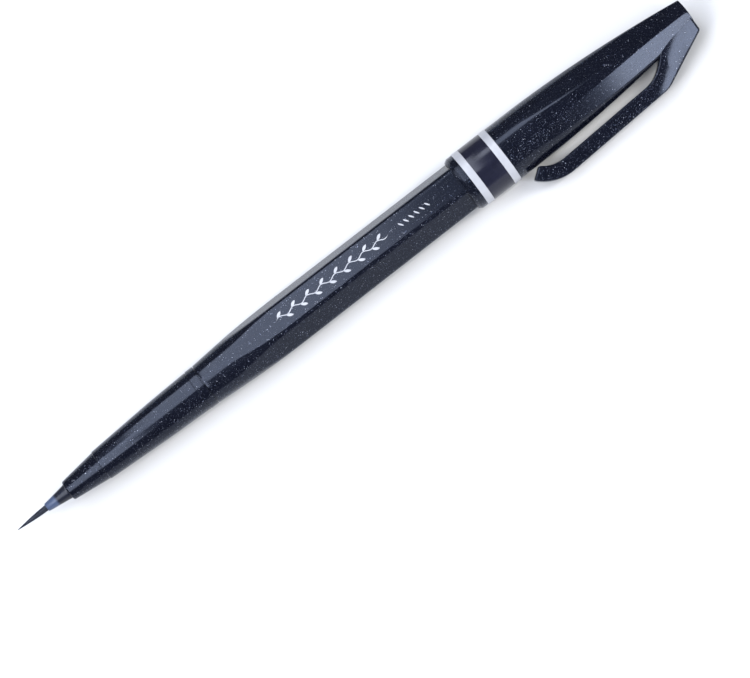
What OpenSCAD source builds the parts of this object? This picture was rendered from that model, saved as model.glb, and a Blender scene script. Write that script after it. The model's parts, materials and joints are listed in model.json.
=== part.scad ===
// Brush pen with its cap posted on the tail: a flexible pointed nib, a tapered
// front section, a six-sided barrel and a cap with a moulded clip.
//
// Pen frame: x runs along the pen from the nib's point, and the clip lies towards -y.
// Row frame: the pen lies on a table, on its cap and clip, with its axis level.

/* [Overall] */
// Length of the pen without its cap, nib point to tail end
body_len = 125; // [115:0.5:150]
// How far the tail goes into the posted cap
post_depth = 18.8; // [14:0.2:23]
// Turn of the barrel's flats from the clip's own direction, degrees
barrel_turn = 15; // [0:1:59]

/* [Nib] */
// Length of the nib outside its holder
nib_out = 7; // [5:0.1:9]
// Diameter of the nib where it leaves the holder
nib_d = 1.2; // [0.9:0.05:1.45]
// Diameter of the nib's point
nib_point_d = 0.1; // [0.06:0.02:0.3]
// How far the bending point stands in front of the holder
nib_bend_out = 0.9; // [0.6:0.1:1.5]

/* [Nib holder] */
// Length of the holder's cone outside the front section
holder_out = 5.1; // [4:0.1:7]
// Diameter of the cone's front edge
holder_mouth_d = 1.72; // [1.65:0.01:2.1]
// Diameter where the cone changes its slope
holder_mid_d = 2.4; // [2.2:0.05:2.8]
// Distance from the front edge to that change
holder_mid_at = 2.6; // [2:0.1:3.2]
// Diameter of the cone's base
holder_base_d = 3.12; // [2.9:0.02:3.5]
// Diameter of the plug behind the cone
holder_plug_d = 2.6; // [2.2:0.1:2.8]
// Length of that plug
holder_plug_len = 9.5; // [6:0.5:12]

/* [Front section] */
// Length of the front section outside the barrel
section_len = 32.8; // [30:0.1:40]
// Diameter of the section's front face
section_mouth_d = 3.84; // [3.6:0.02:4.2]
// Chamfer round the front face
section_edge = 0.2; // [0.1:0.05:0.3]
// Length of the steep cone at the front
cone_len = 7.9; // [6:0.1:10]
// Diameter at the back of the steep cone
cone_end_d = 6.04; // [5.6:0.02:6.4]
// Height of the step behind the cone, which the cap's inner seal rides on
seal_step = 0.12; // [0.05:0.01:0.2]
// Length of the low collar at the joint with the barrel
collar_len = 1.77; // [1:0.1:3]
// Height of that collar
collar_step = 0.06; // [0.03:0.01:0.1]
// Length of the spigot inside the barrel
spigot_len = 9; // [6:0.5:12]
// Diameter of the air chamber behind the holder
chamber_d = 4.4; // [3.6:0.1:4.6]
// Distance from the front face to the reservoir's shoulder
shoulder_at = 21.9; // [20:0.1:24]

/* [Barrel] */
// Diameter of the barrel's bore
bore_d = 7.3; // [7:0.1:7.5]
// Wall between the bore and the barrel's flats
barrel_wall = 1; // [0.8:0.05:1.4]
// Diameter over the rounded corners
barrel_corner_d = 10.34; // [9.6:0.02:12.5]
// Wall of the barrel's round front end
front_wall = 0.65; // [0.5:0.05:0.9]
// Length over which the front swells to full size
swell_len = 30.1; // [20:0.1:37]
// Wall between the bore and the flats of the tail, inside the posted cap
tail_wall = 0.8; // [0.5:0.05:1]
// Number of ribs that centre the reservoir
rib_count = 4; // [3:1:6]
// Width of a rib
rib_w = 0.6; // [0.4:0.1:1]
// Share of the tail's end face that the plug's button covers
plug_cover = 0.43; // [0.2:0.01:0.8]
// Length of the tail plug's button behind the barrel
plug_out = 1; // [0.6:0.1:2]
// Length of the tail plug inside the bore
plug_len = 8.5; // [6:0.5:12]
// Wall of the tail plug
plug_wall = 0.9; // [0.6:0.1:1.4]

/* [Reservoir] */
// Space between the wrapped reservoir and the barrel's bore
reservoir_gap = 0.65; // [0.6:0.05:1]
// Length of the reservoir
reservoir_len = 80; // [60:1:80]
// Thickness of the film round the fibre
wrap_t = 0.1; // [0.05:0.05:0.2]
// Depth that the nib reaches into the fibre
nib_dip = 6; // [4:0.5:10]

/* [Cap] */
// Length of the cap
cap_len = 53.8; // [49:0.2:65]
// Diameter of the cap at its mouth
cap_d = 11.6; // [11.5:0.1:14]
// Diameter of the bore that slides over the tail
cap_bore_d = 10; // [9.9:0.02:10.2]
// Wall behind the flats
cap_wall = 0.7; // [0.6:0.05:0.8]
// Thickness of the closed end
cap_end_wall = 1.6; // [1:0.1:3]
// Distance across the flats at the closed end
cap_end_flats = 5.34; // [4.8:0.02:6.4]
// Diameter over the corners at the closed end
cap_end_d = 6.1; // [5.2:0.02:7]
// Distance from the mouth to where the flats start to fall
flats_from = 10; // [8:0.5:14]
// Length of the lip in front of the first ring
lip_len = 1.9; // [1:0.1:3]
// Length of the lip's chamfer
lip_chamfer = 0.76; // [0.3:0.02:0.9]
// Depth of the lip's chamfer
lip_fall = 0.5; // [0.2:0.02:0.6]
// Width of each printed ring
ring_w = 1.5; // [1:0.1:2]
// Width of the plain band between the rings
band_w = 4.9; // [3:0.05:6]
// Thickness of the printed film, which lies on the cap
film_t = 0.06; // [0.04:0.01:0.1]

/* [Inner cap] */
// Distance from the posted tail to the inner cap
seal_gap = 2.7; // [2:0.1:4]
// Length of the inner cap
seal_len = 24.5; // [20:0.5:26]
// Length of its flange, which fits the cap's bore
seal_flange_len = 1.5; // [1:0.1:3]
// Wall of the inner cap
seal_wall = 0.65; // [0.5:0.05:0.8]
// Space between the inner cap and the bore
seal_space = 0.45; // [0.3:0.05:0.6]

/* [Clip] */
// Length of the clip, from its nose to the cap's closed end
clip_len = 42.45; // [36:0.2:43]
// Width of the slot between the clip and the cap, near the nose
clip_slot = 1.91; // [1.5:0.05:2.8]
// Depth of the clip's arm, seen from the side
clip_depth = 3.05; // [2.6:0.05:3.6]
// Half the clip's width where it meets the cap
clip_half_w = 2.6; // [2.2:0.1:2.8]
// Lean of the clip's sides, degrees
clip_draft = 6.7; // [3:0.1:9]
// Lean of the arm towards the closed end, degrees
clip_lean = 2.86; // [1:0.1:3.5]
// Radius of the nose's outer curve
nose_r = 9.2; // [8:0.1:10]
// Length of the nose's outer curve
nose_len = 6.91; // [6:0.1:8]
// Space between the nose and the cap
nose_gap = 0.15; // [0.1:0.05:0.5]
// Distance of the knee from the closed end
knee_back = 11.5; // [10:0.1:12]
// Distance of the slot's end from the closed end
slot_back = 9.4; // [8.6:0.1:9.8]
// Distance from the axis to the clip's outer face at the closed end
beak_out = 4.24; // [3.8:0.02:5]
// Largest angle that the clip flexes open, degrees
flex_max = 5; // [3:0.5:6]

/* [Fits] */
// Radial clearance between pushed-in pieces
fit = 0.02; // [0.01:0.01:0.05]
// Radial clearance of the tail in the cap's bore
post_fit = 0.08; // [0.05:0.01:0.12]
// Clearance round the clip's root, where it flexes
flex_fit = 0.03; // [0.02:0.01:0.05]

/* [Hidden] */
$fn = 96;

// More than any piece's size, for cutting past a face
over = 30;
curve_steps = 8;
side_angle = 30;

// Stations along the pen
holder_x = nib_out;
section_x = holder_x + holder_out;
joint_x = section_x + section_len;
full_x = joint_x + swell_len;
mouth_x = body_len - post_depth;
barrel_end_x = body_len - plug_out;
end_x = mouth_x + cap_len;
cone_end_x = section_x + cone_len;
collar_x = joint_x - collar_len;
shoulder_x = section_x + shoulder_at;
reservoir_end_x = shoulder_x + reservoir_len;
bend_x = nib_out - nib_bend_out;
stem_end_x = shoulder_x + nib_dip;

// The nib's ball joint: the gap lets the tip turn without meeting the stem
ball_r = 0.45 * nib_d;
ball_cup_r = ball_r + fit;
ball_gap = 0.4 * ball_r;
nib_r = nib_d / 2;

// Radii of the front section
seal_r = cone_end_d / 2 + seal_step;
reservoir_d = bore_d - 2 * reservoir_gap;
collar_r = bore_d / 2 + front_wall;
joint_edge = 0.12;
spigot_r = bore_d / 2 - fit;
seat_r = reservoir_d / 2 + 0.05;

// Radii of the cap. Its flats and corners each follow an arc to the closed end.
cap_r = cap_d / 2;
band_r = cap_r + film_t;
flat_start_r = cap_r + 0.05;
flat_drop = flat_start_r - cap_end_flats / 2;
flat_run = cap_len - flats_from;
corner_drop = cap_r - cap_end_d / 2;
corners_from = lip_len + 2 * ring_w + band_w + 0.3;
corner_run = cap_len - corners_from;
tail_corner_r = cap_bore_d / 2 - post_fit;

function arc_radius(run, drop) = (run * run + drop * drop) / (2 * drop);
function arc_fall(radius, d) = d <= 0 ? 0 : radius - sqrt(radius * radius - d * d);

flat_arc = arc_radius(flat_run, flat_drop);
corner_arc = arc_radius(corner_run, corner_drop);

// Distance from the axis to a flat, and to the bore behind it, s from the mouth
function flat_r(s) = flat_start_r - arc_fall(flat_arc, s - flats_from);
function corner_r(s) = cap_r - arc_fall(corner_arc, s - corners_from);
function bore_r(s) = min(cap_bore_d / 2, flat_r(s) - cap_wall);

// Places in the cap, from its mouth
band_from = lip_len + ring_w;
band_to = band_from + band_w;
rings_to = band_to + ring_w;
bore_end = cap_len - cap_end_wall;
seal_from = post_depth + seal_gap;
seal_to = min(seal_from + seal_len, bore_end - 0.5);

// Clip, seen from the side as [distance from the mouth, distance from the axis]
arm_start = cap_len - clip_len;
arm_crest = arm_start + nose_len;
arm_out = cap_r + clip_slot + clip_depth;
arm_in = cap_r + clip_slot;
knee = cap_len - knee_back;
knee_out = arm_out - (knee - arm_crest) * tan(clip_lean);
slot_end = cap_len - slot_back;
nose_in_r = cap_r + nose_gap;
hook_run = 0.7 * nose_len;
hook_flat = 0.35;
root_curve_run = 5.6;
root_curve_start = slot_end - root_curve_run;
root_curve_r = arm_in - (root_curve_start - arm_crest) * tan(clip_lean);
root_fall = root_curve_r - flat_r(slot_end);

// The clip flexes about a line in the middle of its root
root_slope = atan((knee_out - beak_out) / knee_back);
root_thick = (knee_out - (slot_end - knee) * tan(root_slope) - flat_r(slot_end)) * cos(root_slope);
knuckle_r = 0.38 * root_thick;
hinge = [slot_end, flat_r(slot_end)]
        + 0.5 * root_thick * [sin(root_slope), cos(root_slope)]
        - 0.15 * [cos(root_slope), -sin(root_slope)];

// The pen lies with the clip's lowest edge and the cap's widest part on the table
low_half_w = clip_half_w - (arm_out - flat_r(slot_end)) * tan(clip_draft);
lie_roll = asin(band_r / norm([arm_out, low_half_w])) - atan(low_half_w / arm_out);
side_reach = arm_out * cos(lie_roll) + low_half_w * sin(lie_roll);
axis_y = (side_reach - band_r) / 2;

function arc_points(centre, r, from, to) =
    [for (i = [0 : curve_steps]) let (a = from + (to - from) * i / curve_steps)
        centre + r * [cos(a), sin(a)]];

// Lays a piece from the pen frame into the row frame
module laid() {
    translate([-end_x / 2, axis_y, band_r]) rotate([lie_roll, 0, 0]) children();
}

// Turns a flat outline, drawn as [radius, x], about the pen's axis
module spun() {
    rotate([0, 90, 0]) rotate_extrude() children();
}

// Turns a list of [x, radius] points about the pen's axis
module turned(points) {
    spun() polygon([for (p = points) [p[1], p[0]]]);
}

// Half outline from one x to another, whose edge is an arc of radius arc, r high at crest
module bulged(r, arc, crest, from, to) {
    intersection() {
        translate([r - arc, crest]) circle(r = arc, $fn = 1440);
        translate([0, from]) square([over, to - from]);
    }
}

module rod(from, to, d) {
    translate([from, 0, 0]) rotate([0, 90, 0]) cylinder(h = to - from, d = d);
}

// Six-sided bar along the axis, with one flat at the barrel's turn from the clip
module six_sided(from, to, flats) {
    rotate([barrel_turn, 0, 0]) translate([from, 0, 0]) rotate([0, 90, 0])
        cylinder(h = to - from, d = flats / cos(side_angle), $fn = 6);
}

module nib_tip() {
    bulge = 0.04 * nib_d;
    color("#16171c") union() {
        turned([[0, 0], [0, nib_point_d / 2], [bend_x / 2, nib_r / 2 + bulge],
                [bend_x, nib_r - bulge / 2], [bend_x, 0]]);
        translate([bend_x, 0, 0]) sphere(r = ball_r, $fn = 48);
    }
}

module nib_stem() {
    color("#16171c") difference() {
        rod(bend_x + ball_gap, stem_end_x, nib_d);
        translate([bend_x, 0, 0]) sphere(r = ball_cup_r, $fn = 48);
    }
}

module nib_holder() {
    plug_end_x = section_x + holder_plug_len;
    lead = 0.3;
    color("#2a2d36") turned([
        [holder_x, nib_r + fit],
        [holder_x, holder_mouth_d / 2],
        [holder_x + holder_mid_at, holder_mid_d / 2],
        [section_x, holder_base_d / 2],
        [section_x, holder_plug_d / 2],
        [plug_end_x - lead, holder_plug_d / 2],
        [plug_end_x, holder_plug_d / 2 - lead / 2],
        [plug_end_x, nib_r + fit]]);
}

module front_section() {
    chamber_x = section_x + holder_plug_len + 0.4;
    seat_slope = 0.9;
    color("#15161f") turned([
        [section_x, holder_plug_d / 2 + fit],
        [section_x, section_mouth_d / 2],
        [section_x + section_edge, section_mouth_d / 2 + section_edge],
        [cone_end_x, cone_end_d / 2],
        [cone_end_x + 0.08, seal_r],
        [collar_x, collar_r - collar_step],
        [collar_x, collar_r],
        [joint_x - joint_edge, collar_r],
        [joint_x, collar_r - joint_edge],
        [joint_x, spigot_r],
        [joint_x + spigot_len, spigot_r],
        [joint_x + spigot_len, seat_r],
        [shoulder_x, seat_r],
        [shoulder_x, chamber_d / 2],
        [chamber_x + seat_slope, chamber_d / 2],
        [chamber_x, holder_plug_d / 2 + fit]]);
}

// Round outside of the barrel: it swells from the joint, then steps down for the cap
function barrel_outline() =
    let (corner_r = barrel_corner_d / 2, front_r = collar_r,
         arc = arc_radius(swell_len, corner_r - front_r))
    concat(
        [[joint_x, 0], [joint_x, front_r - joint_edge]],
        [for (i = [0 : curve_steps]) let (d = swell_len * (1 - i / curve_steps))
            [full_x - d + (i == 0 ? joint_edge : 0), corner_r - arc_fall(arc, d)]],
        [[mouth_x, corner_r], [mouth_x, tail_corner_r], [barrel_end_x, tail_corner_r],
         [barrel_end_x, 0]]);

module barrel() {
    rib_from = joint_x + spigot_len + 1;
    rib_to = barrel_end_x - plug_len - 1;
    rib_in = reservoir_d / 2 + 0.04;
    color("#12131c") union() {
        difference() {
            intersection() {
                turned(barrel_outline());
                union() {
                    six_sided(joint_x - 1, mouth_x, bore_d + 2 * barrel_wall);
                    six_sided(mouth_x - 0.5, barrel_end_x + 1, bore_d + 2 * tail_wall);
                }
            }
            rod(joint_x - 1, barrel_end_x + 1, bore_d);
        }
        for (i = [0 : rib_count - 1]) rotate([i * 360 / rib_count, 0, 0])
            translate([rib_from, -rib_w / 2, rib_in])
                cube([rib_to - rib_from, rib_w, bore_d / 2 + 0.2 - rib_in]);
    }
}

module reservoir_core() {
    r = reservoir_d / 2 - wrap_t;
    color("#23242b") turned([
        [shoulder_x, nib_r + fit], [shoulder_x, r], [reservoir_end_x, r], [reservoir_end_x, 0],
        [stem_end_x + 0.1, 0], [stem_end_x + 0.1, nib_r + fit]]);
}

module reservoir_wrap() {
    color("#c9ccd2") difference() {
        rod(shoulder_x, reservoir_end_x, reservoir_d);
        rod(shoulder_x - 1, reservoir_end_x + 1, reservoir_d - 2 * wrap_t);
    }
}

module tail_plug() {
    button_r = bore_d / 2 + plug_cover * (tail_corner_r - bore_d / 2);
    dome = 0.25;
    front_x = barrel_end_x - plug_len;
    inner_r = bore_d / 2 - fit - plug_wall;
    color("#15161f") turned([
        [front_x, inner_r], [front_x, bore_d / 2 - fit - 0.15],
        [front_x + 0.4, bore_d / 2 - fit], [barrel_end_x, bore_d / 2 - fit],
        [barrel_end_x, button_r], [body_len - dome, button_r],
        [body_len, button_r - 1.2], [body_len, 0],
        [barrel_end_x - 0.5, 0], [barrel_end_x - 0.5, inner_r]]);
}

module inner_cap() {
    lip_in = seal_r + 0.2;
    body_from = seal_from + seal_flange_len;
    flange_r = bore_r(body_from) - fit;
    function outer(s) = bore_r(s) - seal_space;
    function inner(s) = min(outer(s) - seal_wall, outer(body_from) - seal_wall);
    steps = 6;
    stations = [for (i = [0 : steps]) body_from + (seal_to - body_from) * i / steps];
    floor_at = seal_to - 1;
    color("#d9dade") translate([mouth_x, 0, 0]) turned(concat(
        [[seal_from, lip_in], [seal_from, flange_r], [body_from, flange_r]],
        [for (s = stations) [s, outer(s)]],
        [[seal_to, 0], [floor_at, 0]],
        [for (i = [0 : steps - 1]) let (s = stations[steps - 1 - i] + (i == 0 ? 1 : 0))
            [min(s, floor_at), inner(s)]],
        [[body_from, lip_in]]));
}

// Material outside the flats, which fall to the closed end as arcs
module cap_flat_cut() {
    translate([flats_from, -over / 2, 0]) difference() {
        cube([flat_run + 1, over, over]);
        translate([0, -1, flat_start_r - flat_arc]) rotate([-90, 0, 0])
            cylinder(h = over + 2, r = flat_arc, $fn = 720);
    }
}

// Side view of the whole clip, arm and root
function clip_outline() =
    let (lean = tan(clip_lean),
         crest_c = [arm_crest, arm_out - nose_r],
         nose_a = 90 + asin(nose_len / nose_r),
         hook_fall = arm_in - nose_in_r,
         hook_r = arc_radius(hook_run, hook_fall),
         hook_c = [arm_crest, arm_in - hook_r],
         hook_a = 90 + asin(hook_run / hook_r),
         root_r = arc_radius(root_curve_run, root_fall),
         root_c = [root_curve_start, root_curve_r - root_r],
         root_a = 90 - asin(root_curve_run / root_r))
    concat(
        arc_points(crest_c, nose_r, nose_a, 90),
        [[knee, knee_out], [cap_len, beak_out], [cap_len, cap_end_flats / 4],
         [slot_end + 0.5, flat_r(slot_end) - 0.4]],
        arc_points(root_c, root_r, root_a, 90),
        arc_points(hook_c, hook_r, 90, hook_a),
        [[arm_crest - hook_run - hook_flat, nose_in_r]]);

// Cross-section of the clip, narrower away from the cap
module clip_wedge() {
    at_root = flat_r(slot_end);
    reach = arm_out + 1;
    far_half_w = clip_half_w - (reach - at_root) * tan(clip_draft);
    near_half_w = clip_half_w + at_root * tan(clip_draft);
    translate([arm_start - 1, 0, 0]) rotate([90, 0, 90])
        linear_extrude(height = clip_len + 2)
            polygon([[0, -near_half_w], [0, near_half_w],
                     [-reach, far_half_w], [-reach, -far_half_w]]);
}

module clip_profile() {
    linear_extrude(height = over, center = true)
        polygon([for (p = clip_outline()) [p[0], -p[1]]]);
}

// Half of space on the arm's side of the flex line, turned back by some degrees
module arm_side(turn) {
    translate([hinge[0], -hinge[1], 0]) rotate([0, 0, root_slope - turn])
        translate([-2 * over, -over, -over]) cube([2 * over, 2 * over, 2 * over]);
}

module clip_arm() {
    color("#12131c") translate([mouth_x, 0, 0]) intersection() {
        union() {
            intersection() {
                clip_profile();
                arm_side(0);
                arm_side(flex_max + 1);
            }
            translate([hinge[0], -hinge[1], -over / 2]) cylinder(h = over, r = knuckle_r);
        }
        clip_wedge();
    }
}

module clip_root() {
    intersection() {
        difference() {
            clip_profile();
            arm_side(0);
            translate([hinge[0], -hinge[1], -over])
                cylinder(h = 2 * over, r = knuckle_r + flex_fit);
        }
        clip_wedge();
    }
}

// Round outside of the cap, before its flats are cut
module cap_outline() {
    bulged(cap_r, corner_arc, corners_from, corners_from, cap_len);
    polygon([[0, 0], [cap_r - lip_fall, 0], [cap_r, lip_chamfer],
             [cap_r, corners_from], [0, corners_from]]);
}

function cap_bore() =
    let (from = post_depth - 4, steps = 6)
    concat(
        [[-1, 0], [-1, cap_bore_d / 2]],
        [for (i = [0 : steps]) let (s = from + (bore_end - from) * i / steps) [s, bore_r(s)]],
        [[bore_end, 0]]);

module cap_shell() {
    color("#12131c") translate([mouth_x, 0, 0]) difference() {
        union() {
            difference() {
                spun() cap_outline();
                for (i = [0 : 5]) rotate([90 + i * 60, 0, 0]) cap_flat_cut();
            }
            clip_root();
        }
        turned(cap_bore());
    }
}

// Printed film on the cap, from one distance from the mouth to another
module film(from, to) {
    translate([mouth_x, 0, 0]) difference() {
        rod(from, to, 2 * band_r);
        rod(from - 1, to + 1, cap_d);
    }
}

module front_ring() {
    color("#dfe3ee") film(lip_len, band_from);
}

module cap_band() {
    color("#1a1b2b") film(band_from, band_to);
}

module rear_ring() {
    color("#dfe3ee") film(band_to, rings_to);
}

laid() nib_tip();
laid() nib_stem();
laid() nib_holder();
laid() front_section();
laid() barrel();
laid() reservoir_core();
laid() reservoir_wrap();
laid() tail_plug();
laid() inner_cap();
laid() cap_shell();
laid() front_ring();
laid() cap_band();
laid() rear_ring();
laid() clip_arm();
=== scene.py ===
# %% [markdown]
# # A brush pen with its cap posted on the tail
# This notebook dresses a imported model of a brush pen. The imported model is the frame: it says where
# each piece is and what moves. Every visible piece is then made again with soft edges, in metres;
# most ride on the body of the frame that they belong to, but not the nib, its hairs or the clip. A pen
# is nearly all turned and moulded
# shapes, so most of the work is growing rings along one axis and easing them into six flats.

import json
import math

import bpy
import numpy as np
from mathutils import Matrix, Vector


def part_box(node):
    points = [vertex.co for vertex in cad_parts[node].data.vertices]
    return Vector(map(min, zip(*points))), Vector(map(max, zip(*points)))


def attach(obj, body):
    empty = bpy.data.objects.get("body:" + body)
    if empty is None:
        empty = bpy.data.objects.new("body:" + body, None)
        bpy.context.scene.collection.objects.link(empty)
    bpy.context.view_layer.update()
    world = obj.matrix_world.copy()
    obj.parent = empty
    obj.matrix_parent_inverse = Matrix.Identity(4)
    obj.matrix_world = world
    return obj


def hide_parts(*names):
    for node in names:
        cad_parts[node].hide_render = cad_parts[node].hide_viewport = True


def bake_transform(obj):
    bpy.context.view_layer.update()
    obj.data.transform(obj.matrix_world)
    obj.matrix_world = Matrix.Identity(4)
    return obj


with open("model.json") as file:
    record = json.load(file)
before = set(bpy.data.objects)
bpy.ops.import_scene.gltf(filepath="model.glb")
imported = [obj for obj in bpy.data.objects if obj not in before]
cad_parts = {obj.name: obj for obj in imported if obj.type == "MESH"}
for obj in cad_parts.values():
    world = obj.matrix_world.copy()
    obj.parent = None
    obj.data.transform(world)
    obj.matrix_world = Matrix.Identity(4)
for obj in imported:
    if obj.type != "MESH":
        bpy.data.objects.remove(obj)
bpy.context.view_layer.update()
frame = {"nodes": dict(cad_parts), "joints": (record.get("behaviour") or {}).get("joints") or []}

# %% [markdown]
# ## Where the pen lies
# The pen lies on a table, rolled over onto its clip. It is far easier to model along a straight
# axis, so each piece is made in the pen's own frame: x from the nib's point, the clip towards -y.
# One matrix then lays it down. Its roll comes from the clip's hinge and its place from the round
# band on the cap, so nothing is typed in twice.

# %% The pen's own frame
MM = 0.001


def mid(low, high):
    return (low + high) / 2


band_low, band_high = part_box("cap_band")
flex_joint = next(j for j in frame["joints"] if j["name"] == "clip_flex")
lie_roll = math.atan2(-flex_joint["axis"][1], flex_joint["axis"][2])
nib_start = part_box("nib_tip")[0].x
axis_place = Vector((nib_start, mid(band_low.y, band_high.y), mid(band_low.z, band_high.z)))
pen_to_row = Matrix.Translation(axis_place) @ Matrix.Rotation(lie_roll, 4, "X")
print("roll in degrees:", round(math.degrees(lie_roll), 2))


def start_of(node):
    """Where a CAD piece starts along the pen, from the nib's point."""
    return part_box(node)[0].x - nib_start


def end_of(node):
    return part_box(node)[1].x - nib_start


holder_x = start_of("nib_holder")
section_x = start_of("front_section")
joint_x = start_of("barrel")
barrel_end = end_of("barrel")
mouth_x = start_of("cap_shell")
cap_end = end_of("cap_shell")
cap_len = cap_end - mouth_x
band_r = (band_high.z - band_low.z) / 2
stations = (holder_x, section_x, joint_x, mouth_x, cap_end)
print("stations in mm:", [round(v / MM, 2) for v in stations])

# %% [markdown]
# ## Tools for turned pieces
# A lathe makes a round piece from one outline. Spinning a profile would do it, but leaves a seam to
# weld. Growing the piece ring by ring, with extrude, move and scale, leaves none. Real edges are
# never sharp, so the outline's corners are rounded first, with short arcs.

# %% Outlines with rounded corners


def rounded_outline(corners, steps=4):
    """Turns corners (x, radius, corner radius) in mm into (x, radius) in metres, rounded."""
    points = []
    for i, (x, r, size) in enumerate(corners):
        here = Vector((x, r))
        if size == 0 or i in (0, len(corners) - 1):
            points.append(here)
            continue
        before = Vector(corners[i - 1][:2]) - here
        after = Vector(corners[i + 1][:2]) - here
        half = before.angle(after) / 2
        reach = min(size / math.tan(half), 0.49 * before.length, 0.49 * after.length)
        first = here + before.normalized() * reach
        last = here + after.normalized() * reach
        for k in range(steps + 1):
            t = k / steps
            points.append(first * (1 - t) ** 2 + here * 2 * t * (1 - t) + last * t * t)
    return [(p.x * MM, p.y * MM) for p in points]


def arc_between(start, end, bulge, steps):
    """Points in mm on a shallow curve between two (x, radius) places, without its ends."""
    (x0, r0), (x1, r1) = start, end
    found = []
    for k in range(1, steps):
        t = k / steps
        found.append((x0 + (x1 - x0) * t, r0 + (r1 - r0) * t + 4 * bulge * t * (1 - t), 0))
    return found


# %% Growing and laying a piece


def deselect():
    if bpy.context.object and bpy.context.object.mode != "OBJECT":
        bpy.ops.object.mode_set(mode="OBJECT")
    bpy.ops.object.select_all(action="DESELECT")


def turned_piece(name, outline, sides):
    """Grows rings along the pen's axis through (x, radius) places in metres."""
    deselect()
    x, r = outline[0]
    quarter = math.pi / 2
    bpy.ops.mesh.primitive_circle_add(
        vertices=sides, radius=r, fill_type="NGON", location=(x, 0, 0), rotation=(0, quarter, 0)
    )
    piece = bpy.context.object
    piece.name = name
    bpy.ops.object.transform_apply(location=True, rotation=True, scale=True)
    bpy.ops.object.mode_set(mode="EDIT")
    bpy.ops.mesh.select_all(action="SELECT")
    for next_x, next_r in outline[1:]:
        bpy.ops.mesh.extrude_region_move(TRANSFORM_OT_translate={"value": (next_x - x, 0, 0)})
        bpy.ops.transform.resize(value=(1, next_r / r, next_r / r), center_override=(next_x, 0, 0))
        x, r = next_x, next_r
    bpy.ops.mesh.select_all(action="SELECT")
    bpy.ops.mesh.normals_make_consistent(inside=False)
    bpy.ops.object.mode_set(mode="OBJECT")
    return piece


def smooth(piece, sharpest=35):
    deselect()
    piece.select_set(True)
    bpy.context.view_layer.objects.active = piece
    bpy.ops.object.shade_smooth_by_angle(angle=math.radians(sharpest))


def lay(piece, body, slot, *nodes):
    """Lays a finished piece down in the row, on its body, in place of its CAD nodes."""
    smooth(piece)
    piece.data.transform(pen_to_row)
    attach(piece, body)
    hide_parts(*nodes)
    print(piece.name, len(piece.data.polygons), "faces")
    return piece


def read_points(piece):
    found = np.empty(len(piece.data.vertices) * 3)
    piece.data.vertices.foreach_get("co", found)
    return found.reshape(-1, 3)


def write_points(piece, places):
    piece.data.vertices.foreach_set("co", places.ravel())
    piece.data.update()


# %% [markdown]
# ## Easing round rings into flats
# The barrel and the cap are round at one end and six-sided at the other, and the flats fade in
# like the scallops of a sharpened pencil. Cutting them with bisect gives hard edges that a bevel
# can't follow out to nothing. So each point of the turned shape is drawn in to the nearest flat,
# and where two surfaces meet a soft minimum rounds the edge between them.

# %% Flats with soft edges


def soft_min(a, b, soft):
    """The smaller of two distances, rounded over where they are nearly equal."""
    near = np.maximum(soft - np.abs(a - b), 0) / soft
    return np.minimum(a, b) - near * near * soft / 4


def draw_in_flats(piece, turn, flat_at, corner_soft, edge_soft, outside):
    """Draws the points that outside picks in to six flats, at the distance flat_at gives."""
    places = read_points(piece)
    chosen = outside(places)
    x, y, z = places[chosen].T
    angle = np.arctan2(z, y)
    r = np.hypot(y, z)
    distance = flat_at(x)
    least_facing = 0.3
    far = 1.0
    sides = []
    for k in range(6):
        facing = np.cos(angle - turn - k * math.pi / 3)
        reach = distance / np.maximum(facing, least_facing)
        sides.append(np.where(facing > least_facing, reach, far))
    sides = np.sort(np.array(sides), axis=0)
    hexagon = soft_min(sides[0], sides[1], corner_soft(x))
    drawn = soft_min(r, hexagon, edge_soft(x))
    places[chosen, 1] = drawn * np.cos(angle)
    places[chosen, 2] = drawn * np.sin(angle)
    write_points(piece, places)
    print(piece.name, "most drawn in by", round(float((r - drawn).max()) / MM, 2), "mm")


def blend_values(x, low, high, first, last):
    """Goes evenly from first to last while x goes from low to high."""
    t = np.clip((x - low) / (high - low), 0, 1)
    return first + (last - first) * t


# %% [markdown]
# ## The barrel
# The barrel swells from the round joint and turns six-sided, with flats that start as scallops. The
# last stretch is thinner: it is the tail that goes into the cap. A groove finer than a fifth of a
# millimetre runs round its front edge, and makes the dark joint line against the front section.

# %% Barrel
BARREL_TURN = math.radians(15)
BARREL_R = 5.45
FRONT_R = 4.3
GROOVE_R = 3.98
GROOVE = 0.17
SWELL_LEN = 19.5
SWELL_BULGE = 0.07
FLATS_EVEN_FROM = 13.5
FLAT_AT_FRONT = 4.76
FLAT_AT_CAP = 4.66
TAIL_CORNER = 4.92
TAIL_FLAT = 4.45
BORE_R = 3.65
POLE_R = 0.02
joint = joint_x / MM
mouth = mouth_x / MM
tail = barrel_end / MM
swell_end = joint + SWELL_LEN
barrel_front = [
    (joint + 1, POLE_R, 0),
    (joint + 1, BORE_R, 0),
    (joint, BORE_R, 0),
    (joint, GROOVE_R, 0),
    (joint + GROOVE, GROOVE_R, 0),
    (joint + GROOVE, FRONT_R, 0.06),
]
barrel_tail = [
    (tail, TAIL_CORNER, 0.35),
    (tail, BORE_R, 0),
    (tail - 2, BORE_R, 0),
    (tail - 2, POLE_R, 0),
]
barrel_outline = rounded_outline(
    barrel_front
    + arc_between((joint + GROOVE, FRONT_R), (swell_end, BARREL_R), SWELL_BULGE, 26)
    + [(swell_end, BARREL_R, 0)]
    + [(x, BARREL_R, 0) for x in np.linspace(swell_end + 2, mouth - 0.3, 18)]
    + [(mouth - 0.02, BARREL_R, 0.15), (mouth, TAIL_CORNER, 0)]
    + [(x, TAIL_CORNER, 0) for x in np.linspace(mouth + 1, tail - 1, 8)]
    + barrel_tail
)
barrel = turned_piece("barrel_body", barrel_outline, 192)


def before_cap(x):
    """True on the body of the barrel, false on the thinner tail in the cap."""
    return x < mouth_x - 0.01 * MM


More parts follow.
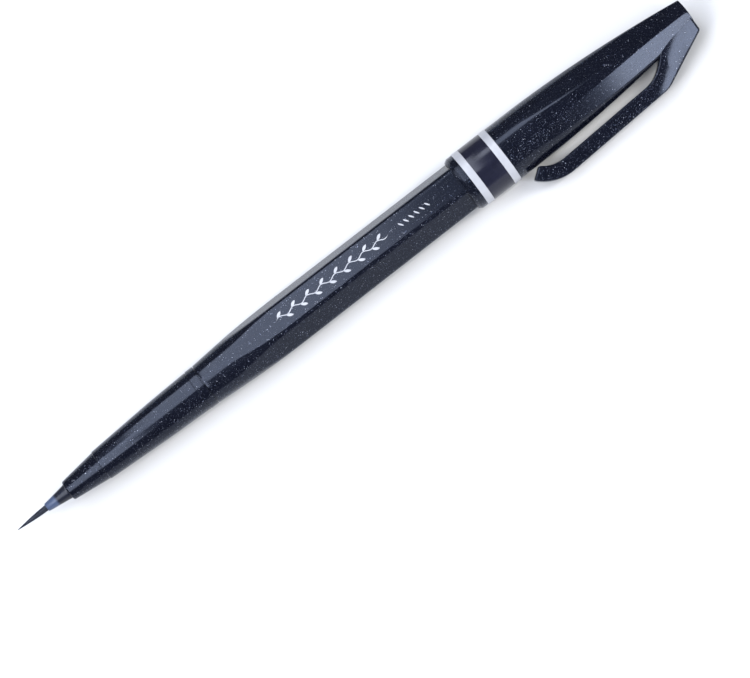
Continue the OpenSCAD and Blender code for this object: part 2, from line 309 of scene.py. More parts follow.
def barrel_flat(x):
    even_x = (joint + FLATS_EVEN_FROM) * MM
    body = blend_values(x, even_x, mouth_x, FLAT_AT_FRONT * MM, FLAT_AT_CAP * MM)
    return np.where(before_cap(x), body, TAIL_FLAT * MM)


draw_in_flats(
    barrel,
    BARREL_TURN,
    barrel_flat,
    lambda x: np.where(before_cap(x), 0.8, 0.35) * MM,
    lambda x: blend_values(x, joint_x, joint_x + 16 * MM, 0.04 * MM, 0.2 * MM),
    lambda p: np.hypot(p[:, 1], p[:, 2]) > (BORE_R + 0.3) * MM,
)
lay(barrel, "barrel", "glitter_plastic", "barrel")

# %% [markdown]
# ## The front section
# A round grip: a steep cone in front, a fine step where the cap's seal sits, a long easy taper
# and a low collar at the joint, with a scored line in front of it. The step and the collar are
# only a tenth of a millimetre high, yet they catch the light, so they are real rings of the
# outline and not painted lines.

# %% Front section
CONE_LEN = 7.9
COLLAR_LEN = 1.77
SECTION_MOUTH_R = 1.35
CONE_R = 3.02
STEP_R = 3.16
TAPER_R = 4.22
LINE_R = 4.1
SPIGOT_R = 3.6
front = section_x / MM
step_x = front + CONE_LEN
collar_x = joint - COLLAR_LEN
section_outline = rounded_outline(
    [
        (front + 2, POLE_R, 0),
        (front + 2, SECTION_MOUTH_R, 0),
        (front, SECTION_MOUTH_R, 0),
        (front, 1.94, 0.2),
        (front + 0.2, 2.1, 0.2),
        (step_x, CONE_R, 0.05),
        (step_x + 0.1, STEP_R, 0.06),
        (collar_x - 9, 3.93, 12),
        (collar_x - 0.12, TAPER_R, 0.03),
        (collar_x - 0.06, LINE_R, 0),
        (collar_x + 0.04, LINE_R, 0),
        (collar_x + 0.07, FRONT_R, 0.04),
        (joint, FRONT_R, 0.06),
        (joint, SPIGOT_R, 0),
        (joint + 1, SPIGOT_R, 0),
        (joint + 1, POLE_R, 0),
    ]
)
section = turned_piece("grip_section", section_outline, 160)
lay(section, "barrel", "glitter_plastic", "front_section")

# %% [markdown]
# ## The nib holder
# A small moulded cone with a thin, rounded mouth round the nib. Its slope changes once, about
# half way back.

# %% Nib holder
HOLDER_BEND_AT = 2.6
HOLDER_BEND_R = 1.2
HOLDER_BASE_R = 1.56
holder = holder_x / MM
holder_outline = rounded_outline(
    [
        (holder + 1, POLE_R, 0),
        (holder + 1, 0.61, 0),
        (holder, 0.64, 0.05),
        (holder, 0.86, 0.1),
        (holder + HOLDER_BEND_AT, HOLDER_BEND_R, 1.5),
        (front - 0.25, 1.54, 0.1),
        (front + 0.02, HOLDER_BASE_R, 0),
        (front + 1, 1.3, 0),
        (front + 1, POLE_R, 0),
    ]
)
nib_holder = turned_piece("nib_holder_cone", holder_outline, 96)
lay(nib_holder, "barrel", "holder_plastic", "nib_holder")

# %% [markdown]
# ## The nib
# A brush tip is a bundle of fibre, cut to a long soft point. In use it bends as a whole, so the
# tip and the stem in the holder are one mesh here.
# Rings stand close together where it bends. A few loose hairs at the point keep it from looking
# moulded.

# %% Nib
NIB_R = 0.6
NIB_OUT = 7.0
NIB_POINT_R = 0.035
NIB_FULLNESS = 1.7


def nib_radius(x):
    """Half the nib's thickness, x mm from its point."""
    taper = 1 - (1 - min(x / NIB_OUT, 1)) ** NIB_FULLNESS
    return NIB_POINT_R + (NIB_R - NIB_POINT_R) * taper


nib_outline = [(0.03 * MM, 0.01 * MM)]
nib_outline += [(x * MM, nib_radius(x) * MM) for x in np.linspace(0.06, 1, 6)]
nib_outline += [(x * MM, nib_radius(x) * MM) for x in np.linspace(1.25, 7.2, 34)]
nib_outline += [(x * MM, NIB_R * MM) for x in np.linspace(8, 38, 6)]
nib = turned_piece("brush_nib", nib_outline, 64)
places = read_points(nib)
turn_round = np.arctan2(places[:, 2], places[:, 1])
grain = 0.006 * np.sin(turn_round * 16) + 0.004 * np.sin(turn_round * 27 + 1.3)
fade = np.clip(places[:, 0] / (2 * MM), 0, 1) * np.clip((9 * MM - places[:, 0]) / MM, 0, 1)
places[:, 1:] *= (1 + 1.6 * grain * fade)[:, None]
write_points(nib, places)


# %% Loose hairs at the nib's point
HAIRS = 22
GOLDEN_TURN = 2.4


def add_hair(turn, root_x, tip_x, lift):
    """One tapering hair that follows the nib and stands a little off it at the end."""
    bpy.ops.mesh.primitive_cone_add(
        vertices=5, radius1=0.028 * MM, radius2=0.006 * MM, depth=(root_x - tip_x) * MM
    )
    hair = bpy.context.object
    bpy.ops.object.mode_set(mode="EDIT")
    bpy.ops.mesh.select_all(action="SELECT")
    bpy.ops.mesh.subdivide(number_cuts=3)
    bpy.ops.object.mode_set(mode="OBJECT")
    points = read_points(hair)
    along = 0.5 + points[:, 2] / ((root_x - tip_x) * MM)
    x = root_x + (tip_x - root_x) * along
    surface = np.array([nib_radius(v) for v in np.maximum(x, 0.05)])
    out = surface * (0.92 - 0.3 * along) + lift * along**2
    moved = np.empty_like(points)
    moved[:, 0] = x * MM
    moved[:, 1] = out * MM * math.cos(turn) + points[:, 0]
    moved[:, 2] = out * MM * math.sin(turn) + points[:, 1]
    write_points(hair, moved)
    return hair


deselect()
hairs = []
for k in range(HAIRS):
    turn = k * GOLDEN_TURN
    root_x = 2.3 + 0.9 * math.sin(k * 1.7)
    tip_x = 0.15 + 0.25 * (k % 4)
    hairs.append(add_hair(turn, root_x, tip_x, 0.012 * (k % 3)))
deselect()
for hair in hairs:
    hair.select_set(True)
bpy.context.view_layer.objects.active = hairs[0]
bpy.ops.object.join()
nib_hairs = bpy.context.object
nib_hairs.name = "nib_hairs"
bpy.ops.object.mode_set(mode="EDIT")
bpy.ops.mesh.select_all(action="SELECT")
bpy.ops.mesh.normals_make_consistent(inside=False)
bpy.ops.object.mode_set(mode="OBJECT")
bpy.ops.object.transform_apply(location=True, rotation=True, scale=True)

for piece in (nib, nib_hairs):
    smooth(piece, 60)
    piece.data.transform(pen_to_row)
    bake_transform(piece)
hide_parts("nib_tip", "nib_stem")
print("nib", len(nib.data.polygons), "faces, with", len(hairs), "hairs")

# %% [markdown]
# ## The tail plug
# A plug closes the barrel's tail. It only shows when the cap is off, as a low button with a
# rounded edge and a shallow dish.

# %% Tail plug
PLUG_R = 3.6
BUTTON_R = 4.2
BUTTON_OUT = 1
DISH_FLOOR = 0.85
plug_outline = rounded_outline(
    [
        (tail - 1.5, POLE_R, 0),
        (tail - 1.5, PLUG_R, 0),
        (tail - 0.01, PLUG_R, 0),
        (tail, BUTTON_R, 0),
        (tail + BUTTON_OUT, BUTTON_R, 0.45),
        (tail + BUTTON_OUT, 2.4, 0.2),
        (tail + DISH_FLOOR, 2.1, 0.2),
        (tail + DISH_FLOOR, POLE_R, 0),
    ]
)
plug = turned_piece("tail_button", plug_outline, 96)
lay(plug, "barrel", "dark_plastic", "tail_plug")

# %% [markdown]
# ## The cap
# The cap is one closed shell, wall and all: the outline starts inside at the bore's blind end,
# comes out to the mouth, turns over the lip and runs back along the outside to the closed end.
# Its outside falls in along six flats, each an arc, and stays round under the printed band.

# %% Cap
CAP_R = 5.8
FLAT_START_R = CAP_R + 0.05
END_FLAT = 2.67
END_CORNER = 3.15
FLATS_FROM = 10
CORNERS_FROM = 17
BORE = 5.0
CAP_WALL = 0.7
END_WALL = 1.6
length = cap_len / MM


def arc_fall(distance, run, drop):
    """How far an arc that starts level has fallen after some distance, in mm."""
    radius = (run * run + drop * drop) / (2 * drop)
    distance = np.clip(distance, 0, run)
    return radius - np.sqrt(radius * radius - distance * distance)


def cap_flat_mm(s):
    """Distance from the axis to a flat, s mm from the mouth."""
    drop = FLAT_START_R - END_FLAT
    return FLAT_START_R - arc_fall(s - FLATS_FROM, length - FLATS_FROM, drop)


def cap_corner_mm(s):
    return CAP_R - arc_fall(s - CORNERS_FROM, length - CORNERS_FROM, CAP_R - END_CORNER)


def cap_bore_mm(s):
    return np.minimum(BORE, cap_flat_mm(s) - CAP_WALL)


bore_run = np.linspace(length - END_WALL, 17, 14)
skin_run = np.linspace(10.6, length - 0.6, 52)
inside = [(mouth + s, float(cap_bore_mm(s)), 0) for s in bore_run]
outside_run = [(mouth + s, float(cap_corner_mm(s)), 0) for s in skin_run]
cap_outline = rounded_outline(
    [(mouth + length - END_WALL, POLE_R, 0)]
    + inside
    + [
        (mouth + 0.35, BORE, 0.2),
        (mouth, BORE + 0.15, 0.1),
        (mouth, CAP_R - 0.42, 0.2),
        (mouth + 0.76, CAP_R, 0.3),
        (mouth + 4, CAP_R, 0),
    ]
    + outside_run
    + [
        (mouth + length - 0.15, 3.05, 0.32),
        (mouth + length - 0.02, 2.3, 0.3),
        (mouth + length, 1.2, 0),
        (mouth + length, POLE_R, 0),
    ]
)
cap = turned_piece("cap_body", cap_outline, 192)


def on_cap_skin(p):
    """True for points outside the bore, and for the whole closed end."""
    bore = cap_bore_mm((p[:, 0] - mouth_x) / MM)
    beyond_bore = np.hypot(p[:, 1], p[:, 2]) > (bore + 0.2) * MM
    return beyond_bore | (p[:, 0] > cap_end - 1.4 * MM)


draw_in_flats(
    cap,
    0,
    lambda x: cap_flat_mm((x - mouth_x) / MM) * MM,
    lambda x: blend_values(x, mouth_x + 14 * MM, cap_end, 0.1 * MM, 0.3 * MM),
    lambda x: blend_values(x, mouth_x + 11 * MM, cap_end, 0.012 * MM, 0.2 * MM),
    on_cap_skin,
)
lay(cap, "cap", "glitter_plastic", "cap_shell")

# %% [markdown]
# ## The printed band
# Two white rings with a plain dark band between them, printed on a thin film. The film stands a
# few hundredths of a millimetre proud, enough for its edges to show. Each ring is its own thin
# sleeve: the two end faces that growing it leaves are bridged into an inside wall.

# %% Rings and band


def printed_ring(name, node, slot):
    start, end = start_of(node) / MM, end_of(node) / MM
    r = band_r / MM
    ring = turned_piece(
        name,
        rounded_outline(
            [
                (start, CAP_R - 0.1, 0),
                (start, r - 0.02, 0),
                (start + 0.03, r, 0.02),
                (end - 0.03, r, 0.02),
                (end, r - 0.02, 0),
                (end, CAP_R - 0.1, 0),
            ],
            3,
        ),
        192,
    )
    bpy.ops.object.mode_set(mode="EDIT")
    bpy.ops.mesh.select_all(action="DESELECT")
    bpy.ops.object.mode_set(mode="OBJECT")
    ends = [f for f in ring.data.polygons if len(f.vertices) > 4]
    for face in ends:
        face.select = True
    bpy.ops.object.mode_set(mode="EDIT")
    bpy.ops.mesh.select_mode(type="FACE")
    bpy.ops.mesh.bridge_edge_loops(type="SINGLE")
    bpy.ops.mesh.select_all(action="SELECT")
    bpy.ops.mesh.normals_make_consistent(inside=False)
    bpy.ops.object.mode_set(mode="OBJECT")
    return lay(ring, "cap", slot, node)


front_ring = printed_ring("white_ring_front", "front_ring", "white_print")
plain_band = printed_ring("plain_band", "cap_band", "dark_print")
rear_ring = printed_ring("white_ring_rear", "rear_ring", "white_print")

# %% [markdown]
# ## The clip
# The clip springs from the closed end in one piece with the cap. Seen from the side it is a beak:
# it rises from the end, runs level over a narrow slot and hooks down at the nose. It is grown as a
# bar of four-cornered sections along that side view, and its long edges are bevelled afterwards.
# The real clip gives at its root.

# %% Clip side view
CLIP_LEN = 42.45
NOSE_LEN = 6.91
NOSE_OUTER_R = 9.2
NOSE_INNER_R = 6.65
ARM_OUT = 10.76
ARM_IN = 7.71
BEAK_LEN = 11.5
BEAK_HIGH = 9.56
BEAK_LOW = 4.24
SLOT_CURVE = 5.6
NOSE = length - CLIP_LEN
CREST = NOSE + NOSE_LEN
KNEE = length - BEAK_LEN
SLOT_END = length - 9.4
lean = math.tan(math.radians(2.86))


def clip_outer(s):
    """Distance from the axis to the clip's outer side."""
    if s < CREST:
        return ARM_OUT - NOSE_OUTER_R + math.sqrt(NOSE_OUTER_R**2 - (CREST - s) ** 2)
    arm = ARM_OUT - (s - CREST) * lean
    beak = BEAK_HIGH - (s - KNEE) * (BEAK_HIGH - BEAK_LOW) / BEAK_LEN
    return float(soft_min(np.array(arm), np.array(beak), 0.5))


def clip_inner(s):
    """Distance from the axis to the side that faces the cap."""
    if s < CREST:
        return ARM_IN - NOSE_INNER_R + math.sqrt(NOSE_INNER_R**2 - (CREST - s) ** 2)
    arm = ARM_IN - (s - CREST) * lean
    past = max(0.0, s - (SLOT_END - SLOT_CURVE))
    sunk = 0.7 * min(max((s - 46) / 4, 0), 1)
    return max(arm - past * past / (2 * SLOT_CURVE), flush_at(s) - sunk)


# %% Clip width
# The arm has a little draft. Past the slot its sides lean further over, to run into the cap's
# flats.
ARM_HALF = 2.73
NOSE_SLANT = 2.35


def flush_at(s):
    """Distance from the axis at which the clip's side meets the cap's flat."""
    return 2.9 - max(s - 45, 0) * 0.193


def half_width(s, r):
    leaning = min(max((s - 39) / 12, 0), 1)
    draft = 6.7 + 9 * leaning * leaning * (3 - 2 * leaning)
    meet = flush_at(s)
    root = (float(cap_flat_mm(s)) - 0.5 * meet) / 0.866 + 0.06 * max(50 - s, 0)
    top = float(soft_min(np.array(ARM_HALF), np.array(root), 0.4))
    return top - (r - meet) * math.tan(math.radians(draft))


clip_sections = []
for k in range(13):
    t = k / 12
    outer_s = NOSE + (CREST - NOSE) * t
    inner_s = NOSE + NOSE_SLANT + (CREST - NOSE - NOSE_SLANT) * t
    clip_sections.append((outer_s, clip_outer(outer_s), inner_s, clip_inner(inner_s)))
arm_run = np.linspace(CREST + 1.5, KNEE - 4, 14)
knee_run = np.linspace(KNEE - 3.5, KNEE + 3, 20)
root_run = np.linspace(KNEE + 3.4, length - 0.12, 20)
for s in np.concatenate([arm_run, knee_run, root_run]):
    clip_sections.append((s, clip_outer(s), s, clip_inner(s)))

# %% Clip mesh
CLIP_EDGE = 0.42
deselect()
bpy.ops.mesh.primitive_plane_add(size=2 * MM)
clip = bpy.context.object
clip.name = "clip"
bpy.ops.object.mode_set(mode="EDIT")
bpy.ops.mesh.select_all(action="SELECT")
for k in range(len(clip_sections) - 1):
    bpy.ops.mesh.extrude_region_move(TRANSFORM_OT_translate={"value": (0, 0, MM)})
bpy.ops.object.mode_set(mode="OBJECT")
points = read_points(clip)
level = np.rint((points[:, 2] - points[:, 2].min()) / MM).astype(int)
for i, k in enumerate(level):
    outer_s, outer_r, inner_s, inner_r = clip_sections[k]
    is_outer = points[i, 1] < 0
    s, r = (outer_s, outer_r) if is_outer else (inner_s, inner_r)
    side = 1 if points[i, 0] > 0 else -1
    points[i] = (mouth_x + s * MM, -r * MM, side * half_width(s, r) * MM)
write_points(clip, points)
bpy.context.view_layer.objects.active = clip
bpy.ops.object.mode_set(mode="EDIT")
bpy.ops.mesh.select_all(action="SELECT")
bpy.ops.mesh.normals_make_consistent(inside=False)
bpy.ops.object.mode_set(mode="OBJECT")
edge_bevel = clip.modifiers.new("edges", "BEVEL")
edge_bevel.width = CLIP_EDGE * MM
edge_bevel.segments = 4
edge_bevel.limit_method = "ANGLE"
edge_bevel.angle_limit = math.radians(40)
bpy.ops.object.modifier_apply(modifier="edges")
smooth(clip, 30)
clip.data.transform(pen_to_row)
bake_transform(clip)
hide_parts("clip_arm")
print("clip", len(clip.data.polygons), "faces")

# %% [markdown]
# ## The print on the barrel
# The barrel carries a fine white print along one flat. Here it is a plain ornament that says
# nothing: a wavy stem with leaves and a row of small dabs. Each stroke is a narrow grid laid on
# the flat, bent along its path and given the thickness of ink.

# %% Brush-stroke print
PRINT_FACE = BARREL_TURN + math.radians(60)
INK = 0.01
INK_LIFT = 0.006
STEM_FROM = 63
STEM_LEN = 26.5
STEM_WAVES = 8
LEAVES = 15
FIRST_LEAF = 63.4
LEAF_STEP = 1.7
DABS = 6
FIRST_DAB = 92.2
DAB_STEP = 1.25
print_normal = Vector((0, math.cos(PRINT_FACE), math.sin(PRINT_FACE)))
print_across = Vector((0, math.sin(PRINT_FACE), -math.cos(PRINT_FACE)))


def ribbon(path, width_at):
    """Lays a ribbon on the flat. path gives (along, across) in mm, and width_at its width."""
    deselect()
    bpy.ops.mesh.primitive_grid_add(x_subdivisions=96, y_subdivisions=2, size=2)
    stroke = bpy.context.object
    grid = read_points(stroke)
    t = (grid[:, 0] + 1) / 2
    x, across = path(t)
    ahead_x, ahead_across = path(t + 0.001)
    run = np.hypot(ahead_x - x, ahead_across - across)
    offset = grid[:, 1] * width_at(t) / 2
    x = x - (ahead_across - across) / run * offset
    across = across + (ahead_x - path(t)[0]) / run * offset
    depth = barrel_flat(x * MM) / MM + INK_LIFT
    on_flat = np.outer(x, (1, 0, 0)) + np.outer(across, print_across)
    laid = on_flat + np.outer(depth, print_normal)
    write_points(stroke, laid * MM)
    return stroke


def stem(t):
    """A thin wavy stem."""
    return STEM_FROM + STEM_LEN * t, 0.3 * np.sin(t * math.tau * STEM_WAVES)


def leaf(start, side):
    """A leaf that grows from the stem, forwards and to one side."""
    stem_x, stem_across = stem((start - STEM_FROM) / STEM_LEN)
    return lambda t: (stem_x + 1.25 * t, stem_across + side * (1.15 * t - 0.35 * t * t))


def dab(start):
    """A short slanting stroke across the flat."""
    return lambda t: (start + 0.7 * t, 0.5 - t)


def stem_width(t):
    return 0.17 * np.clip(np.minimum(t, 1 - t) * 30, 0.1, 1)


def leaf_width(t):
    return 0.04 + 0.52 * np.sin(math.pi * t) ** 0.8


def dab_width(t):
    return 0.03 + 0.27 * np.sin(math.pi * t) ** 0.6


strokes = [ribbon(stem, stem_width)]
for k in range(LEAVES):
    side = 1 - 2 * (k % 2)
    strokes.append(ribbon(leaf(FIRST_LEAF + k * LEAF_STEP, side), leaf_width))
for k in range(DABS):
    strokes.append(ribbon(dab(FIRST_DAB + k * DAB_STEP), dab_width))
deselect()
for stroke in strokes:
    stroke.select_set(True)
bpy.context.view_layer.objects.active = strokes[0]
bpy.ops.object.join()
barrel_print = bpy.context.object
barrel_print.name = "barrel_print"
ink = barrel_print.modifiers.new("ink", "SOLIDIFY")
ink.thickness = INK * MM
bpy.ops.object.modifier_apply(modifier="ink")
bpy.ops.object.mode_set(mode="EDIT")
bpy.ops.mesh.select_all(action="SELECT")
bpy.ops.mesh.normals_make_consistent(inside=False)
bpy.ops.object.mode_set(mode="OBJECT")
barrel_print.data.transform(pen_to_row)
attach(barrel_print, "barrel")

# %% [markdown]
# ## Finishes
# Each finish is a node material that reads object coordinates in metres, so a speck keeps its real
# size on every piece. The moulded plastic holds fine metal flakes under a clear gloss: each cell
# of a Voronoi pattern is a flake with its own tint and its own tilt, and only some cells hold one.

# %% Node helpers


def new_finish(name):
    """A material with a Principled shader, and object coordinates to read."""
    finish = bpy.data.materials.new(name)
    finish.use_nodes = True
    nodes = finish.node_tree.nodes
    shader = nodes["Principled BSDF"]
    coords = nodes.new("ShaderNodeTexCoord")
    return finish, shader, coords.outputs["Object"]


def link(finish, source, target):
    finish.node_tree.links.new(source, target)


def maths(finish, kind, first, second, clamp=False):
    node = finish.node_tree.nodes.new("ShaderNodeMath")
    node.operation = kind
    node.use_clamp = clamp
    for socket, value in zip(node.inputs, (first, second)):
        if isinstance(value, (int, float)):
            socket.default_value = value
        else:
            link(finish, value, socket)
    return node.outputs[0]


def mix_colour(finish, factor, first, second):
    node = finish.node_tree.nodes.new("ShaderNodeMix")
    node.data_type = "RGBA"
    link(finish, factor, node.inputs[0])
    for socket, value in zip((node.inputs[6], node.inputs[7]), (first, second)):
        if isinstance(value, tuple):
            socket.default_value = (*value, 1)
        else:
            link(finish, value, socket)
    return node.outputs[2]


def noise(finish, coords, scale, detail=3.0, stretch=(1, 1, 1)):
    """Cloudy values from 0 to 1. stretch below 1 draws the pattern out along that direction."""
    nodes = finish.node_tree.nodes
    mapping = nodes.new("ShaderNodeMapping")
    mapping.inputs["Scale"].default_value = stretch
    mapping.inputs["Rotation"].default_value = (-lie_roll, 0, 0)
    link(finish, coords, mapping.inputs["Vector"])
    texture = nodes.new("ShaderNodeTexNoise")
    texture.inputs["Scale"].default_value = scale
    texture.inputs["Detail"].default_value = detail
    link(finish, mapping.outputs[0], texture.inputs["Vector"])
    return texture.outputs[0]


def bump(finish, shader, height, distance, strength):
    node = finish.node_tree.nodes.new("ShaderNodeBump")
    node.inputs["Distance"].default_value = distance
    node.inputs["Strength"].default_value = strength
    link(finish, height, node.inputs["Height"])
    link(finish, node.outputs[0], shader.inputs["Normal"])


def ease(finish, value, low, high, first=0.0, last=1.0):
    """first below low, last above high, even between."""
    node = finish.node_tree.nodes.new("ShaderNodeMapRange")
    for socket, number in zip(node.inputs[1:5], (low, high, first, last)):
        socket.default_value = number
    link(finish, value, node.inputs[0])
    return node.outputs[0]


def put_on(finish, *pieces):
    for piece in pieces:
        piece.data.materials.clear()
        piece.data.materials.append(finish)


# %% Glitter plastic


def flakes(finish, coords, per_metre, share, size):
    """Gives a mask of the flakes, a random colour for each, and a random number for each.

    share is how many of the cells hold one, and size its radius in cells.
    """
    cells = finish.node_tree.nodes.new("ShaderNodeTexVoronoi")
    cells.inputs["Scale"].default_value = per_metre
    link(finish, coords, cells.inputs["Vector"])
    parts = finish.node_tree.nodes.new("ShaderNodeSeparateColor")
    link(finish, cells.outputs["Color"], parts.inputs[0])
    there = maths(finish, "LESS_THAN", parts.outputs[2], share)
    near = maths(finish, "LESS_THAN", cells.outputs["Distance"], size)
    return maths(finish, "MULTIPLY", there, near), cells.outputs["Color"], parts.outputs[0]


def glitter_plastic():
    finish, shader, coords = new_finish("glitter plastic")
    nodes = finish.node_tree.nodes
    fine, fine_colour, fine_pick = flakes(finish, coords, per_metre=8200, share=0.4, size=0.42)
    coarse, _, coarse_pick = flakes(finish, coords, per_metre=3900, share=0.12, size=0.26)
    cloud = ease(finish, noise(finish, coords, 260), 0.3, 0.7)
    base = mix_colour(finish, cloud, (0.0019, 0.0024, 0.0056), (0.0033, 0.004, 0.0082))
    silver = mix_colour(finish, fine_pick, (0.026, 0.034, 0.062), (0.16, 0.17, 0.205))
    bright = mix_colour(finish, coarse_pick, (0.11, 0.13, 0.2), (0.42, 0.43, 0.46))
    seen = maths(finish, "MULTIPLY", fine, maths(finish, "POWER", fine_pick, 2.0))
    colour = mix_colour(finish, maths(finish, "MULTIPLY", seen, 0.6), base, silver)
    colour = mix_colour(finish, maths(finish, "MULTIPLY", coarse, 0.8), colour, bright)
    link(finish, colour, shader.inputs["Base Color"])
    metal = maths(finish, "MAXIMUM", maths(finish, "MULTIPLY", fine, 0.75), coarse)
    link(finish, metal, shader.inputs["Metallic"])
    link(finish, ease(finish, metal, 0, 1, 0.16, 0.32), shader.inputs["Roughness"])
    tilt = nodes.new("ShaderNodeVectorMath")
    tilt.operation = "SUBTRACT"
    link(finish, fine_colour, tilt.inputs[0])
    tilt.inputs[1].default_value = (0.5, 0.5, 0.5)
    scaled = nodes.new("ShaderNodeVectorMath")
    scaled.operation = "SCALE"
    link(finish, tilt.outputs[0], scaled.inputs[0])
    link(finish, maths(finish, "MULTIPLY", metal, 0.7), scaled.inputs["Scale"])
    geometry = nodes.new("ShaderNodeNewGeometry")
    summed = nodes.new("ShaderNodeVectorMath")
    summed.operation = "ADD"
    link(finish, geometry.outputs["Normal"], summed.inputs[0])
    link(finish, scaled.outputs[0], summed.inputs[1])
    level = nodes.new("ShaderNodeVectorMath")
    level.operation = "NORMALIZE"
    link(finish, summed.outputs[0], level.inputs[0])
    link(finish, level.outputs[0], shader.inputs["Normal"])
    shader.inputs["Specular IOR Level"].default_value = 0.14
    shader.inputs["Specular Tint"].default_value = (0.5, 0.66, 1, 1)
    shader.inputs["Coat Weight"].default_value = 0.3
    shader.inputs["Coat Roughness"].default_value = 0.13
    return finish


put_on(glitter_plastic(), barrel, section, cap, clip)

# %% [markdown]
# The plain band has no flakes and a softer shine. The white print is thick ink with a faint
# lavender cast, never quite even. The holder is dark plastic, dark behind in its own colour, and
# painted pale blue-grey in front: a painted reflection of the sky, not a colour the plastic has.

# %% Prints and plain plastics


def plain_finish(name, dark, light, roughness, coat, clouds=400, shine=0.5):
    finish, shader, coords = new_finish(name)
    cloud = noise(finish, coords, clouds)
    colour = mix_colour(finish, ease(finish, cloud, 0.3, 0.7), dark, light)
    link(finish, colour, shader.inputs["Base Color"])
    worn = noise(finish, coords, clouds * 3)
    dulled = ease(finish, worn, 0.3, 0.7, roughness * 0.85, roughness * 1.15)
    link(finish, dulled, shader.inputs["Roughness"])
    bump(finish, shader, noise(finish, coords, clouds * 8, 2), 0.002 * MM, 0.5)
    shader.inputs["Specular IOR Level"].default_value = shine
    shader.inputs["Coat Weight"].default_value = coat
    shader.inputs["Coat Roughness"].default_value = 0.16
    return finish


def holder_plastic():
    finish, shader, coords = new_finish("holder plastic")
    nodes = finish.node_tree.nodes
    place = nodes.new("ShaderNodeSeparateXYZ")
    link(finish, coords, place.inputs[0])
    # 0 on the holder's front, which carries a painted reflection of the sky, and 1 behind it
    back = ease(finish, place.outputs[0], nib_start + 9.1 * MM, nib_start + 9.6 * MM)
    cloud = noise(finish, coords, 900)
    uneven = maths(finish, "MULTIPLY", maths(finish, "SUBTRACT", cloud, 0.5), 0.3)
    past_painted_reflection = maths(finish, "ADD", back, uneven, clamp=True)
    # The paler blue-grey first colour is a painted reflection of the sky on the front; the dark second
    # is the holder's own
    colour = mix_colour(finish, past_painted_reflection, (0.045, 0.062, 0.11), (0.006, 0.007, 0.013))
    link(finish, colour, shader.inputs["Base Color"])
    link(finish, ease(finish, cloud, 0.3, 0.7, 0.26, 0.36), shader.inputs["Roughness"])
    shader.inputs["Specular IOR Level"].default_value = 0.3
    shader.inputs["Coat Weight"].default_value = 0.1
    return finish


def nib_fibre():
    finish, shader, coords = new_finish("nib fibre")
    streaks = noise(finish, coords, 11000, 4, (0.03, 1, 1))
    fine = noise(finish, coords, 26000, 2, (0.02, 1, 1))
    mixed = maths(finish, "MULTIPLY", maths(finish, "ADD", streaks, fine), 0.5)
    tone = ease(finish, mixed, 0.4, 0.62)
    colour = mix_colour(finish, tone, (0.0015, 0.002, 0.004), (0.02, 0.024, 0.04))
    link(finish, colour, shader.inputs["Base Color"])
    link(finish, ease(finish, mixed, 0.4, 0.6, 0.75, 0.4), shader.inputs["Roughness"])
    bump(finish, shader, mixed, 0.02 * MM, 0.8)
    shader.inputs["Specular IOR Level"].default_value = 0.3
    return finish


white_print = plain_finish(
    "white print", (0.29, 0.295, 0.318), (0.34, 0.343, 0.356), roughness=0.36, coat=0.2
)
dark_print = plain_finish(
    "plain dark band",
    (0.006, 0.0065, 0.014),
    (0.009, 0.0095, 0.02),
    roughness=0.2,
    coat=0.3,
    shine=0.2,
)
dark_plastic = plain_finish(
    "plug plastic", (0.006, 0.0065, 0.012), (0.012, 0.013, 0.02), roughness=0.25, coat=0.5
)
seal_plastic = plain_finish(
    "inner cap plastic", (0.62, 0.63, 0.64), (0.74, 0.75, 0.76), roughness=0.4, coat=0.1
)
ink_fibre = plain_finish(
    "ink fibre", (0.01, 0.01, 0.016), (0.05, 0.05, 0.07), roughness=0.85, coat=0.0, clouds=3000
)
wrap_film = plain_finish(
    "reservoir film", (0.55, 0.57, 0.6), (0.7, 0.72, 0.75), roughness=0.15, coat=0.5
)
put_on(holder_plastic(), nib_holder)
put_on(nib_fibre(), nib, nib_hairs)
put_on(white_print, front_ring, rear_ring, barrel_print)
put_on(dark_print, plain_band)
put_on(dark_plastic, plug)
put_on(seal_plastic, frame["nodes"]["inner_cap"])
put_on(ink_fibre, frame["nodes"]["reservoir_core"])
put_on(wrap_film, frame["nodes"]["reservoir_wrap"])

# %% [markdown]
# ## Floor, light and camera
# A plain light grey floor, lit until it looks white, and large soft lights. A glossy dark pen
# shows little but reflections, so each light is placed for the flat that should catch it: a flat
# that faces a degrees off the camera shows what lies 2a degrees off it. A far window gives the
# soft highlight on the cap's lip, and two lights off the pen's ends brighten the floor without
# showing in the gloss. The camera stands square to the plane of the clip, with a long lens.

# %% Floor
deselect()
bpy.ops.mesh.primitive_plane_add(size=3, location=(0, 0, 0))
floor = bpy.context.object
floor.name = "floor"
floor_finish, floor_shader, floor_coords = new_finish("pale floor")
floor_cloud = noise(floor_finish, floor_coords, 30)
link(
    floor_finish,
    mix_colour(floor_finish, floor_cloud, (0.52, 0.515, 0.505), (0.55, 0.545, 0.535)),
    floor_shader.inputs["Base Color"],
)
floor_shader.inputs["Roughness"].default_value = 0.8
put_on(floor_finish, floor)

# %% Lights
COOL = (0.79, 0.85, 1)
towards = pen_to_row.to_3x3()
view_dir = towards @ Vector((0, 0, 1))
up_left = towards @ Vector((0, 1, 0))


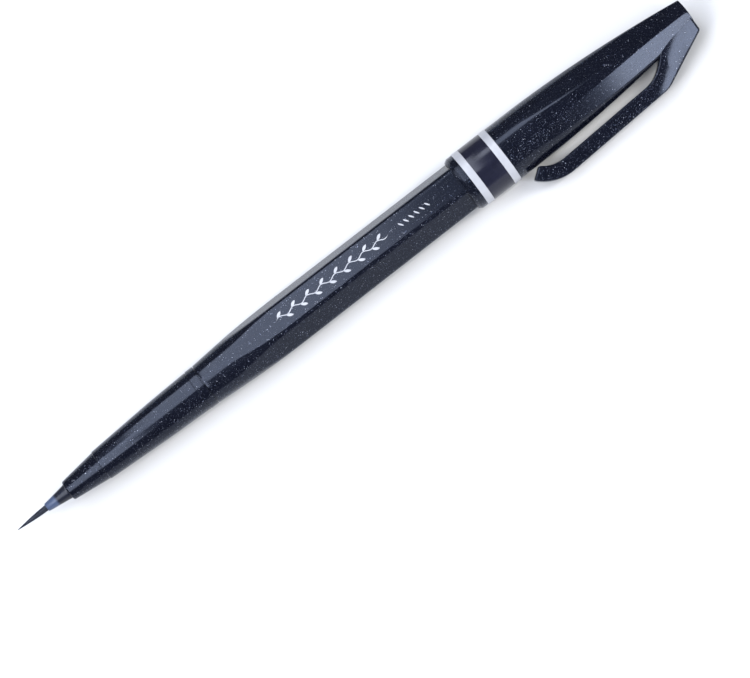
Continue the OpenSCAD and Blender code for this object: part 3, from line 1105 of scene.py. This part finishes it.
def soft_light(name, turn, distance, from_x, to_x, spread, brightness):
    """A cool light panel along the pen, turned some degrees from the camera's side.

    from_x and to_x are its ends along the row, spread its angle in degrees across the pen, and
    brightness a measure of how bright its face is.
    """
    width = to_x - from_x
    height = 2 * distance * math.tan(math.radians(spread / 2))
    lamp = bpy.data.lights.new(name, "AREA")
    lamp.shape = "RECTANGLE"
    lamp.size = width
    lamp.size_y = height
    lamp.energy = brightness * math.pi * width * height
    lamp.color = COOL
    panel = bpy.data.objects.new(name, lamp)
    bpy.context.scene.collection.objects.link(panel)
    a = math.radians(turn)
    out = view_dir * math.cos(a) + up_left * math.sin(a)
    side = Vector((1, 0, 0))
    place = axis_place + out * distance
    place.x = mid(from_x, to_x)
    turned_in = Matrix((side, out.cross(side), out)).transposed().to_4x4()
    panel.matrix_world = Matrix.Translation(place) @ turned_in
    panel.visible_camera = False
    print(name, "power in watts:", round(lamp.energy, 2))


def end_light(name, x, height, width, run, brightness):
    """A narrow panel off one end of the pen, on the camera's side of it and in line with the pen.

    It lights the floor, through the clip's slot too, and stays out of the gloss.
    """
    lamp = bpy.data.lights.new(name, "AREA")
    lamp.shape = "RECTANGLE"
    lamp.size = width
    lamp.size_y = run
    lamp.energy = brightness * math.pi * width * run
    panel = bpy.data.objects.new(name, lamp)
    bpy.context.scene.collection.objects.link(panel)
    place = Vector((x, 0, 0)) + view_dir * height
    back = place.normalized()
    turned_in = Matrix((up_left, back.cross(up_left), back)).transposed().to_4x4()
    panel.matrix_world = Matrix.Translation(place) @ turned_in
    panel.visible_camera = False
    panel.visible_glossy = False


soft_light("window_low", 8, 0.5, from_x=-0.3, to_x=-0.16, spread=56, brightness=7.4)
soft_light("window_high", 38, 0.5, from_x=-0.16, to_x=0.026, spread=66, brightness=6.2)
soft_light("strip", 47, 0.6, from_x=0.055, to_x=0.15, spread=18, brightness=6.6)
soft_light("low_panel", -43, 0.5, from_x=0.18, to_x=0.31, spread=46, brightness=14)
soft_light("far_window", 45, 0.8, from_x=-1.15, to_x=-0.65, spread=70, brightness=2.4)
end_light("nib_end", x=-0.7, height=0.75, width=0.2, run=0.6, brightness=19)
end_light("cap_end", x=0.7, height=0.75, width=0.2, run=0.6, brightness=19)

world = bpy.data.worlds.new("studio")
bpy.context.scene.world = world
world.use_nodes = True
sky = world.node_tree.nodes["Background"]
sky.inputs["Color"].default_value = (0.9, 0.95, 1, 1)
sky.inputs["Strength"].default_value = 0.18

# %% Camera
PEN_TILT = math.radians(37.79)
AIM_X = 75.55
AIM_ACROSS = -12.83
SEEN_WIDTH = 141.8
CAMERA_OFF = 0.75
SENSOR = 36
camera_data = bpy.data.cameras.new("camera")
camera_data.sensor_width = SENSOR
camera_data.lens = SENSOR * CAMERA_OFF / (SEEN_WIDTH * MM)
camera = bpy.data.objects.new("camera", camera_data)
bpy.context.scene.collection.objects.link(camera)
aim = pen_to_row @ Vector((AIM_X * MM, AIM_ACROSS * MM, 0))
right = Vector((1, 0, 0)) * math.cos(PEN_TILT) - up_left * math.sin(PEN_TILT)
up = Vector((1, 0, 0)) * math.sin(PEN_TILT) + up_left * math.cos(PEN_TILT)
facing = Matrix((right, up, view_dir)).transposed().to_4x4()
camera.matrix_world = Matrix.Translation(aim + view_dir * CAMERA_OFF) @ facing
camera_data.clip_end = 10
bpy.context.scene.camera = camera
bpy.context.scene.view_settings.view_transform = "Standard"
